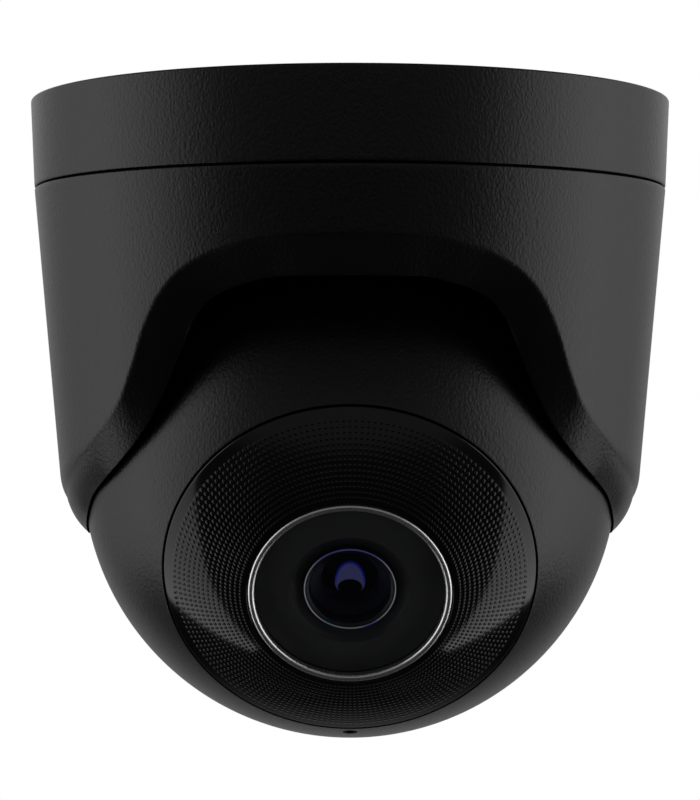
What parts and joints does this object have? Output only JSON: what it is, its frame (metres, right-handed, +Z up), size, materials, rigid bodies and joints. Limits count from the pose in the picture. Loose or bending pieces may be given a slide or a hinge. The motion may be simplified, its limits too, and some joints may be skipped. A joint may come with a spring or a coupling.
{
  "type": "turret security camera",
  "caption": "Black ceiling turret camera: round base, panning housing with an arched front, and a ball with an infrared window and a fixed lens that tilts and rolls.",
  "frame": {"origin": "centre of the flat face that lies against the ceiling", "axes": "+Z points up into the ceiling, the camera hangs below the origin, and the lens looks along -Y, tilted down"},
  "size_m": [0.11, 0.11, 0.1095],
  "materials": {
    "shell_black": "satin",
    "plate_steel": "satin",
    "black_rubber": "matte",
    "black_screw": "satin",
    "plain_screw": "satin",
    "inner_black": "matte",
    "friction_grey": "matte",
    "glide_white": "satin",
    "window_black": "gloss",
    "bezel_silver": "satin",
    "cover_glass": "gloss",
    "lens_glass": "gloss",
    "filter_glass": "gloss",
    "lens_black_metal": "satin",
    "circuit_board": "satin",
    "led_resin": "gloss",
    "chassis_aluminium": "satin",
    "sensor_face": "gloss",
    "shield_steel": "satin",
    "standoff_brass": "satin",
    "thermal_grey": "matte",
    "chip_black": "matte",
    "can_aluminium": "satin",
    "connector_cream": "satin",
    "ribbon_amber": "satin"
  },
  "bodies": {
    "base": {"base_ring": "shell_black", "mounting_plate": "plate_steel", "plate_hooks": "plate_steel", "cable_grommet": "black_rubber", "lock_screw": "black_screw"},
    "housing": {"housing_shell": "shell_black", "clamp_ring": "inner_black", "friction_ring": "friction_grey", "pan_ring": "glide_white", "pan_ring_screws": "plain_screw"},
    "swivel": {"cable_bush": "inner_black", "bush_clip": "plain_screw"},
    "ball": {"front_shell": "shell_black", "rear_shell": "shell_black", "shell_seal": "black_rubber", "shell_screws": "black_screw", "ir_window": "window_black", "window_seal": "black_rubber", "led_board": "circuit_board", "ir_leds": "led_resin", "lens_bezel": "bezel_silver", "lens_cover": "cover_glass", "lens_tube": "inner_black", "lens_baffle": "inner_black", "lens_barrel": "lens_black_metal", "front_element": "lens_glass", "inner_elements": "lens_glass", "aperture_stop": "lens_black_metal", "lens_holder": "inner_black", "ir_filter": "filter_glass", "image_sensor": "sensor_face", "sensor_board": "circuit_board", "sensor_screws": "plain_screw", "chassis": "chassis_aluminium", "chassis_screws": "plain_screw", "thermal_pad": "thermal_grey", "main_board": "circuit_board", "standoffs": "standoff_brass", "board_screws": "plain_screw", "soc_shield": "shield_steel", "network_transformer": "chip_black", "capacitors": "can_aluminium", "cable_connector": "connector_cream", "card_socket": "shield_steel", "ribbon": "ribbon_amber", "mic_capsule": "shield_steel", "mic_boot": "black_rubber"}
  },
  "joints": [
    {"name": "pan", "type": "hinge", "parent": "base", "child": "housing", "pos_m": [0, 0, -0.0137], "axis": [0, 0, 1], "range_deg": [-170, 170]},
    {"name": "tilt", "type": "hinge", "parent": "housing", "child": "swivel", "pos_m": [0, 0, -0.0633], "axis": [1, 0, 0], "range_deg": [-26.65, 63.35]},
    {"name": "roll", "type": "hinge", "parent": "swivel", "child": "ball", "pos_m": [0, 0, -0.0633], "axis": [0, -0.8938, -0.4485], "range_deg": [-180, 180]}
  ]
}
